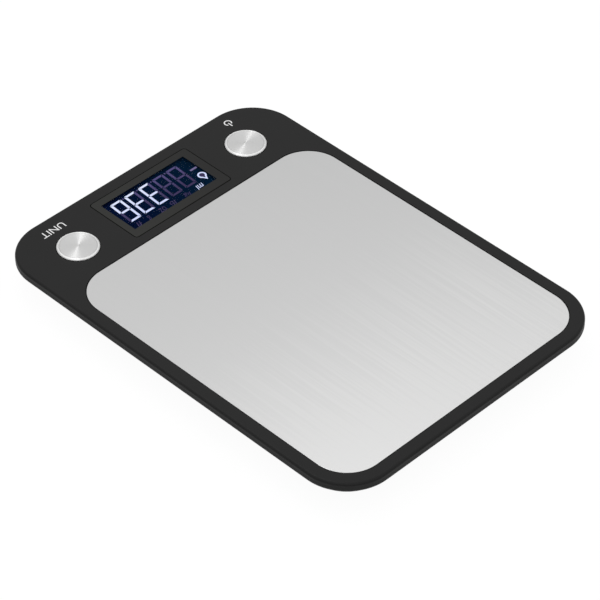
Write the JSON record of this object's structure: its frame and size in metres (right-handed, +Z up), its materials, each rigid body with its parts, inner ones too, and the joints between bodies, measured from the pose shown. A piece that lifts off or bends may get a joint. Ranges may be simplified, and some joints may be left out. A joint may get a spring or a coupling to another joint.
{
  "type": "kitchen scale",
  "caption": "Slim battery kitchen scale: black case with rounded corners, brushed steel weighing plate, backlit digital display and round metal keys for power and unit.",
  "frame": {"origin": "centre of the bounding box in X and Y, at the bottom of the rubber feet", "axes": "+Z up, +Y from the display end towards the far end of the weighing plate, +X to the right of a user who reads the display (the unit key's side)"},
  "size_m": [0.1656, 0.227, 0.019],
  "materials": {
    "black_abs": "satin moulded ABS",
    "brushed_plate": "stainless, grain brushed along the length",
    "spun_steel": "turned circular grain with a bright chamfer",
    "adhesive_film": "double-sided acrylic film",
    "smoked_window": "gloss tinted acrylic",
    "black_tape": "foam tape",
    "lcd_face": "negative polariser, lit segments",
    "lcd_glass": "clear",
    "white_plastic": "moulded",
    "clear_acrylic": "clear",
    "led_package": "phosphor window",
    "conductive_rubber": "striped silicone",
    "circuit_board": "green solder mask",
    "black_epoxy": "satin",
    "tantalum": "moulded",
    "zinc_steel": "zinc plated steel",
    "cell_aluminium": "milled",
    "potting": "white silicone",
    "foot_rubber": "matt",
    "battery_can": "printed jacket, plain",
    "contact_nickel": "nickel plated spring steel",
    "wire_red": "PVC",
    "wire_black": "PVC",
    "cable_grey": "PVC"
  },
  "bodies": {
    "base": {"tray": "black_abs", "foot_1": "foot_rubber", "foot_2": "foot_rubber", "foot_3": "foot_rubber", "foot_4": "foot_rubber", "load_cell": "cell_aluminium", "gauge_potting_top": "potting", "gauge_potting_bottom": "potting", "cell_base_spacer": "cell_aluminium", "cell_base_screw_1": "zinc_steel", "cell_base_screw_2": "zinc_steel", "battery_1": "battery_can", "battery_2": "battery_can", "contact_plus": "contact_nickel", "contact_minus": "contact_nickel", "contact_bridge": "contact_nickel", "load_cell_cable": "cable_grey", "battery_wire_red": "wire_red", "battery_wire_black": "wire_black"},
    "floating_top": {"top_cover": "black_abs", "steel_plate": "brushed_plate", "plate_adhesive": "adhesive_film", "display_lens": "smoked_window", "lens_tape": "black_tape", "lcd_polariser": "lcd_face", "lcd_panel": "lcd_glass", "backlight_box": "white_plastic", "backlight_guide": "clear_acrylic", "backlight_led": "led_package", "zebra_strip": "conductive_rubber", "main_pcb": "circuit_board", "chip": "black_epoxy", "capacitor": "tantalum", "pcb_screw_1": "zinc_steel", "pcb_screw_2": "zinc_steel", "pcb_screw_3": "zinc_steel", "pcb_screw_4": "zinc_steel", "power_switch_base": "black_epoxy", "unit_switch_base": "black_epoxy", "carrier_plate": "zinc_steel", "carrier_screw_1": "zinc_steel", "carrier_screw_2": "zinc_steel", "carrier_screw_3": "zinc_steel", "carrier_screw_4": "zinc_steel", "cell_top_screw_1": "zinc_steel", "cell_top_screw_2": "zinc_steel", "cell_top_spacer": "cell_aluminium"},
    "power_button": {"power_button_cap": "spun_steel", "power_button_key": "black_abs", "power_switch_plunger": "white_plastic"},
    "unit_button": {"unit_button_cap": "spun_steel", "unit_button_key": "black_abs", "unit_switch_plunger": "white_plastic"},
    "battery_door": {"battery_door": "black_abs"}
  },
  "joints": [
    {"name": "weighing_travel", "type": "slide", "parent": "base", "child": "floating_top", "axis": [0, 0, -1], "range_m": [0, 0.0005], "stiffness_N_per_m": 120000, "springref_m": -0.00003, "deforming": ["load_cell", "load_cell_cable", "battery_wire_red", "battery_wire_black"]},
    {"name": "power_press", "type": "slide", "parent": "floating_top", "child": "power_button", "axis": [0, 0, -1], "range_m": [0, 0.0006], "stiffness_N_per_m": 800, "springref_m": -0.0015},
    {"name": "unit_press", "type": "slide", "parent": "floating_top", "child": "unit_button", "axis": [0, 0, -1], "range_m": [0, 0.0006], "stiffness_N_per_m": 800, "springref_m": -0.0015},
    {"name": "door_hinge", "type": "hinge", "parent": "base", "child": "battery_door", "pos_m": [0, -0.07, 0.0022], "axis": [-1, 0, 0], "range_deg": [0, 75]}
  ]
}
